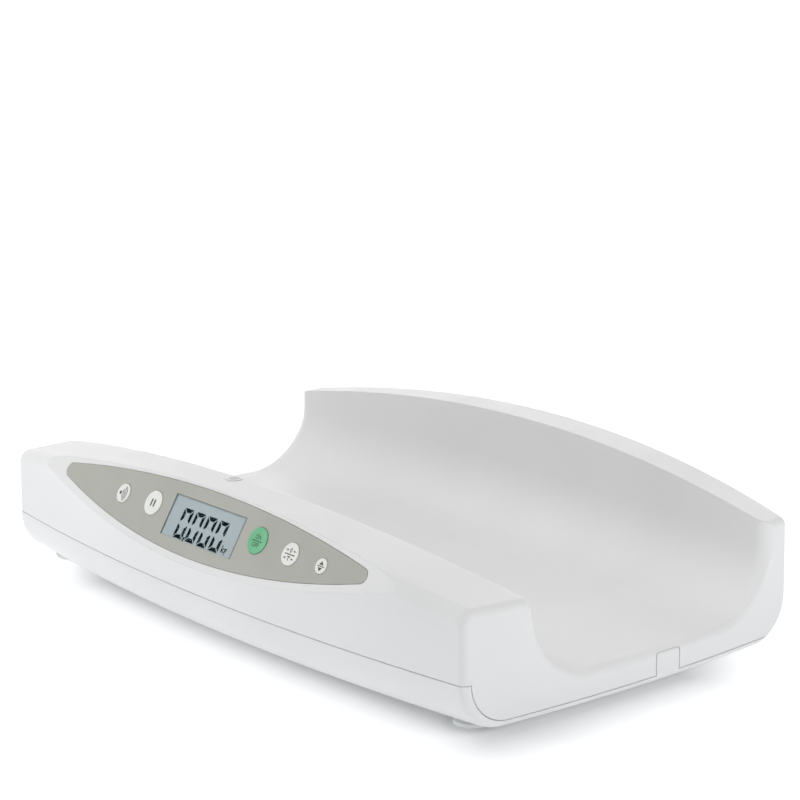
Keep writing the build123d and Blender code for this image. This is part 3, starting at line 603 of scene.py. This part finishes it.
def reading(place):
    """0.000 kg on the display film."""
    shade = print_and_painted_shade("display_ink", (0.003, 0.010, 0.012), (0.006, 0.016, 0.019), 0.0)
    outlines = []
    for i in range(4):
        outlines += zero_segments(DIGITS_LEFT + i * DIGIT_PITCH, DIGITS_FOOT)
    point_x = DIGITS_LEFT + (DIGIT_WIDTH + DIGIT_PITCH) / 2
    outlines.append([(point_x + x, DIGITS_FOOT + y) for x, y in POINT])
    thick = FILM_GAP * MM / 2
    printed("display_digits", leaning(outlines), place, "housing", shade, thick)
    lettering("display_unit", [UNIT], place, "housing", shade, UNIT_WEIGHT)


def painted_edge_shadow(place, length, width):
    """Painted shadow that the recess casts on the pane: a dark line round its top and ends, length by width in
    millimetres.
    """
    # painted shadow of the recess along the pane's edge, in dark grey
    rubber = print_and_painted_shade("display_edge_shadow_ink", (0.17, 0.18, 0.18), (0.24, 0.25, 0.25))
    bars = [bar(0, (width - SHADOW_TOP) / 2, length, SHADOW_TOP)]
    for side, wide in ((-1, SHADOW_LEFT), (1, SHADOW_RIGHT)):
        bars.append(bar(side * (length - wide) / 2, 0, wide, width))
    printed("display_edge_shadow", bars, place, "housing", rubber)


def display():
    """Clear pane with the display film right behind it, which stand for window and cell."""
    face = facet_place("display_window")
    size = face_size("display_window")
    back = -PANE_THICK * MM
    clear = nodes["display_window"].data.materials[0]
    pane = plate("display_pane", size, (back, 0.0), PANE_EDGE * MM, face, "housing", clear)
    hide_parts("display_window")
    front = back - FILM_GAP * MM
    cell = nodes["lcd_glass"].data.materials[0]
    heights = (front - FILM_THICK * MM, front)
    film = plate("display_film", size, heights, HAIR, face, "housing", cell)
    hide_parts("lcd_glass")
    reading(face @ Matrix.Translation((0, 0, front)))
    # painted shadow of the recess along the top and ends of the pane
    painted_edge_shadow(face, size[0] / MM, size[1] / MM)


# ---------------------------------------------------------------- key legends, in millimetres

LINE = 0.72                 # stroke of the lines that divide a key
SMALL_LINE = 0.576          # and of the one on the smallest key
WAVE_LINE = 0.612           # stroke of the sound waves
WAVE_RADII = (2.9, 4.4, 5.9, 7.4)
WAVE_SPREAD = 50            # degrees to each side of level
SOUND_X, SOUND_Y = -3.2, 0.1
SOUND_DOT = 1.35            # radius of the sounder's dot
ARROWS = [(2.8, 4.0, 3.0), (-2.9, 3.9, 2.8)]    # height, distance out and length, row by row
HEAD = 1.3                  # length of the arrows' heads
HOLD_BAR = (1.5, 5.6)       # width and height of each upright bar
HOLD_APART = 1.7            # from the middle of the key to that of a bar
LETTER_HIGH = 4.6
LETTER_SQUEEZE = 0.9        # width of a letter by what the font gives
WORD_WEIGHT = 0.1           # that thickens the words' strokes
FIGURE_WEIGHT = 0.12        # and those of the 0


def sound_legend(colour):
    """A dot that sends out waves."""
    outlines = [disc(SOUND_X, SOUND_Y, SOUND_DOT)]
    for radius in WAVE_RADII:
        outlines.append(arc_band(SOUND_X, SOUND_Y, radius, WAVE_LINE, -WAVE_SPREAD, WAVE_SPREAD))
    printed("sound_legend", outlines, facet_place("key_sound"), "key_sound", colour)


def hold_legend(colour):
    """Two upright bars."""
    outlines = [bar(x, 0.2, *HOLD_BAR) for x in (-HOLD_APART, HOLD_APART)]
    printed("hold_legend", outlines, facet_place("key_hold"), "key_hold", colour)


def power_legend(colour):
    """ON over OFF."""
    place = facet_place("key_power")
    printed("power_line", [bar(0, -0.1, 10.6, LINE)], place, "key_power", colour)
    words = [("ON", 0, 2.7, LETTER_HIGH, LETTER_SQUEEZE), ("OFF", 0, -3.1, LETTER_HIGH, LETTER_SQUEEZE)]
    lettering("power_legend", words, place, "key_power", colour, WORD_WEIGHT)


def zero_legend(colour):
    """Arrows towards a 0, over arrows towards an empty pan."""
    place = facet_place("key_zero")
    outlines = [bar(0, 0, 10.4, LINE)]
    for y, out, length in ARROWS:
        for way in (1, -1):
            outlines += arrow(-way * out, y, length, HEAD, way)
    outlines += [bar(0, -1.7, 3.0, LINE), bar(0, -3.1, LINE, 2.6)]
    printed("zero_marks", outlines, place, "key_zero", colour)
    figure = ("0", 0, 2.8, LETTER_HIGH, LETTER_SQUEEZE)
    lettering("zero_figure", [figure], place, "key_zero", colour, FIGURE_WEIGHT)


def limit_legend(colour):
    """Triangles up and down from a line."""
    outlines = [bar(0, 0, 7.0, SMALL_LINE)]
    outlines += [triangle(0, way * 2.3, 4.4, way * 2.6) for way in (1, -1)]
    printed("limit_legend", outlines, facet_place("key_limit"), "key_limit", colour)


def key_legends():
    """The signs on the five keys, each of which rides its key."""
    dark = print_and_painted_shade("legend_ink", (0.05, 0.05, 0.05), (0.11, 0.11, 0.11))
    olive = print_and_painted_shade("legend_ink_green", (0.035, 0.10, 0.05), (0.06, 0.15, 0.08))
    sound_legend(dark)
    hold_legend(dark)
    power_legend(olive)
    zero_legend(dark)
    limit_legend(dark)


# ---------------------------------------------------------------- bubble level

RING_SHARE = 0.42           # of the level's radius, for its printed ring
RING_LINE = 0.3             # millimetres
BUBBLE_SHARE = 0.30         # of the level's radius, for the bubble
BUBBLE_FLAT = 0.35          # half of the bubble's height, as a share of its radius
BUBBLE_STEPS = 10


def bubble_level():
    """Dome, the bubble under it and the ring printed on it."""
    low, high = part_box("level_fluid")
    radius = (high.x - low.x) / 2
    middle = middle_of("level_fluid")
    bubble = radius * BUBBLE_SHARE
    angles = [math.pi * i / BUBBLE_STEPS for i in range(BUBBLE_STEPS + 1)]
    profile = [(bubble * math.sin(a), bubble * BUBBLE_FLAT * (math.cos(a) - 1)) for a in angles]
    place = Matrix.Translation((middle.x, middle.y, high.z))
    # bubble whose near-white colour is a painted highlight
    turned_piece("level_bubble_highlight", profile, place, "housing", bubble_painted_highlight())
    # pale half-clear dome, whose colour paints its reflection at a flat angle
    nodes["level_lens"].data.materials[0] = level_dome_painted_reflection()
    ring = radius * RING_SHARE / MM
    grey = print_and_painted_shade("level_ring_ink", (0.34, 0.35, 0.35), (0.42, 0.43, 0.43))
    halves = [arc_band(0, 0, ring, RING_LINE, start, start + 180, 30) for start in (0, 180)]
    place = Matrix.Translation((middle.x, middle.y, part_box("level_lens")[1].z))
    printed("level_ring", halves, place, "housing", grey, PRINT / 2)


# ---------------------------------------------------------------- painted shadow in the screw recesses

CROSS_SHARE = 0.6           # of the screw's width, the span of the cross in its head
CROSS_ARM = 0.3             # width of an arm by that span


def painted_recess_shadows():
    """Painted shadow: dark crosses where the cross recesses in the heads of the case screws lie in shade, seen
    from below.
    """
    # dark crosses that paint the shade in the screw heads' recesses
    dark = print_and_painted_shade("recess_shadow", (0.012, 0.012, 0.013), (0.03, 0.03, 0.032))
    mesh = bmesh.new()
    for low, high in solids_of("case_screws"):
        middle = (low + high) / 2
        span = (high.x - low.x) * CROSS_SHARE
        arm = span * CROSS_ARM
        for length, width in ((span, arm), (arm, span)):
            prism(mesh, bar(middle.x, middle.y, length, width), low.z - PRINT, low.z + HAIR)
    finish_piece("painted_recess_shadows", mesh, Matrix.Identity(4), "housing", dark)


# ---------------------------------------------------------------- floor, light and camera

FLOOR_HALF = 30.0
SHADOW_PATCH_MIDDLE = (0.055, -0.045, 0.0)  # middle of the patch round the scale where the floor doesn't glow for the camera: a painted shadow over the real one
SHADOW_PATCH_HALF = (0.218, 0.092, 1.0)     # half of that patch's size
SHADOW_PATCH_FADE = 0.065          # over this far from the patch the painted shadow fades and the floor brightens
GLOW_FAR = 0.5              # up to this, for camera and mirrors only, so that it's white
TABLE_GLOW = 0.285          # for all other rays, anywhere, which lifts the lower shell
TABLE_TINT = (0.97, 0.985, 1.0)
SKY_TINT = (0.985, 0.995, 1.0)
SKY_LOW = 0.0               # strength at the horizon
SKY_HIGH = 0.515            # and overhead
SUN_ANGLE = 70.0            # degrees across, which keeps every shadow soft
SUNS = [                    # name, where it comes from, strength
    ("front_left", (-0.7, -0.7, 1.3), 1.12),
    ("back_left", (-0.7, 0.7, 0.3), 0.67),
    ("front", (0.0, -1.0, 0.1), 0.06),
    ("left", (-1.0, 0.0, 0.15), 0.085),
]
SOFTBOXES = [               # name, place, what it points at, size, watts
    ("softbox_right", (1.05, 0.14, 0.4), (0.2, 0.05, 0.05), 0.7, 3.0),
    ("softbox_left", (-0.5, -0.9, 0.25), (-0.25, -0.17, 0.05), 0.5, 1.4),
]
CAMERA_PLACE = (1.32602, -1.10132, 0.56626)
CAMERA_PITCH = 13.465       # degrees below level
CAMERA_TURN = 49.777        # degrees from +Y towards -X
CAMERA_LENS = 106.94        # millimetres
CAMERA_SENSOR = 36.0


def seen_or_mirrored(tree):
    """1 for rays from the camera and those that mirrors and glass send on, otherwise 0."""
    path = add_node(tree, "LightPath", {})
    seen = path.outputs["Is Camera Ray"]
    for kind in ("Is Glossy Ray", "Is Transmission Ray"):
        feeds = {0: seen, 1: path.outputs[kind]}
        seen = add_node(tree, "Math", feeds, operation="MAXIMUM").outputs[0]
    return seen


def past_shadow_patch(finish):
    """Distance over the floor from the patch of painted shadow, where it doesn't glow for the camera."""
    place = finish.place
    for operation, numbers in (("SUBTRACT", SHADOW_PATCH_MIDDLE), ("ABSOLUTE", (0, 0, 0)),
                               ("SUBTRACT", SHADOW_PATCH_HALF), ("MAXIMUM", (0, 0, 0))):
        feeds = {0: place, 1: numbers}
        place = add_node(finish.tree, "VectorMath", feeds, operation=operation).outputs["Vector"]
    return add_node(finish.tree, "VectorMath", {0: place}, operation="LENGTH").outputs["Value"]


def floor_white():
    """Matt white with a glow that leaves a painted shadow round the scale for the camera; seen from below it is
    clear, so that the underside shows.
    """
    finish = Finish("studio_white")
    tree = finish.tree
    finish.set("Roughness", 1.0)
    finish.set("Specular IOR Level", 0.0)
    tone = finish.noise(3.0)
    finish.feed("Base Color", finish.blend(tone, (0.892, 0.90, 0.908), (0.902, 0.91, 0.918)))
    # for the camera and mirrors the floor glows white, apart from a painted shadow in the patch round the scale
    seen_glow_and_painted_shadow = finish.span(past_shadow_patch(finish), 0.0, GLOW_FAR, 0.0, SHADOW_PATCH_FADE)
    strength = finish.span(seen_or_mirrored(tree), TABLE_GLOW, seen_glow_and_painted_shadow, 0.0, 1.0)
    glow = add_node(tree, "Emission", {"Color": (*TABLE_TINT, 1), "Strength": strength})
    above = add_node(tree, "AddShader", {0: finish.shader.outputs[0], 1: glow.outputs[0]})
    below = add_node(tree, "BsdfTransparent", {})
    behind = add_node(tree, "NewGeometry", {}).outputs["Backfacing"]
    one_way = add_node(tree, "MixShader", {0: behind, 1: above.outputs[0], 2: below.outputs[0]})
    tree.links.new(one_way.outputs[0], tree.nodes["Material Output"].inputs["Surface"])
    return finish.material


def floor():
    """White floor, far wider than the view."""
    mesh = bmesh.new()
    bmesh.ops.create_grid(mesh, x_segments=8, y_segments=8, size=FLOOR_HALF)
    data = bpy.data.meshes.new("studio_floor")
    mesh.to_mesh(data)
    mesh.free()
    data.materials.append(floor_white())
    plane = bpy.data.objects.new("studio_floor", data)
    bpy.context.scene.collection.objects.link(plane)


def sky():
    """World that is brighter overhead, with a white backdrop for the camera and mirrors."""
    world = bpy.data.worlds.new("studio")
    bpy.context.scene.world = world
    world.use_nodes = True
    tree = world.node_tree
    way = add_node(tree, "TexCoord", {}).outputs["Generated"]
    height = add_node(tree, "SeparateXYZ", {0: way}).outputs["Z"]
    rise = add_node(tree, "MapRange", {"Value": height, "To Min": SKY_LOW, "To Max": SKY_HIGH})
    lamp = tree.nodes["Background"]
    lamp.inputs["Color"].default_value = (*SKY_TINT, 1)
    tree.links.new(rise.outputs["Result"], lamp.inputs["Strength"])
    backdrop = add_node(tree, "Background", {"Color": (1, 1, 1, 1), "Strength": 1.0})
    feeds = {0: seen_or_mirrored(tree), 1: lamp.outputs[0], 2: backdrop.outputs[0]}
    mix = add_node(tree, "MixShader", feeds)
    tree.links.new(mix.outputs[0], tree.nodes["World Output"].inputs["Surface"])


def hang_lamp(name, data, place, back):
    """Put a lamp at place, with its back turned towards the direction given."""
    lamp = bpy.data.objects.new(name, data)
    lamp.location = place
    lamp.rotation_euler = Vector(back).to_track_quat("Z", "Y").to_euler()
    lamp.visible_camera = False
    bpy.context.scene.collection.objects.link(lamp)


def lamps():
    """Soft suns and two softboxes, which the camera doesn't see."""
    for name, source, strength in SUNS:
        sun = bpy.data.lights.new(name, "SUN")
        sun.energy = strength
        sun.angle = math.radians(SUN_ANGLE)
        hang_lamp(name, sun, source, source)
    for name, place, target, size, watts in SOFTBOXES:
        box = bpy.data.lights.new(name, "AREA")
        box.energy = watts
        box.size = size
        hang_lamp(name, box, place, Vector(place) - Vector(target))


def camera():
    """The photo's view, fitted to its outlines."""
    data = bpy.data.cameras.new("view")
    data.lens = CAMERA_LENS
    data.sensor_width = CAMERA_SENSOR
    holder = bpy.data.objects.new("view", data)
    holder.location = CAMERA_PLACE
    holder.rotation_euler = (math.radians(90 - CAMERA_PITCH), 0, math.radians(CAMERA_TURN))
    bpy.context.scene.collection.objects.link(holder)
    bpy.context.scene.camera = holder


bpy.context.scene.view_settings.view_transform = "Standard"
camera()
dress_nodes()
display()
key_legends()
bubble_level()
painted_recess_shadows()
floor()
sky()
lamps()
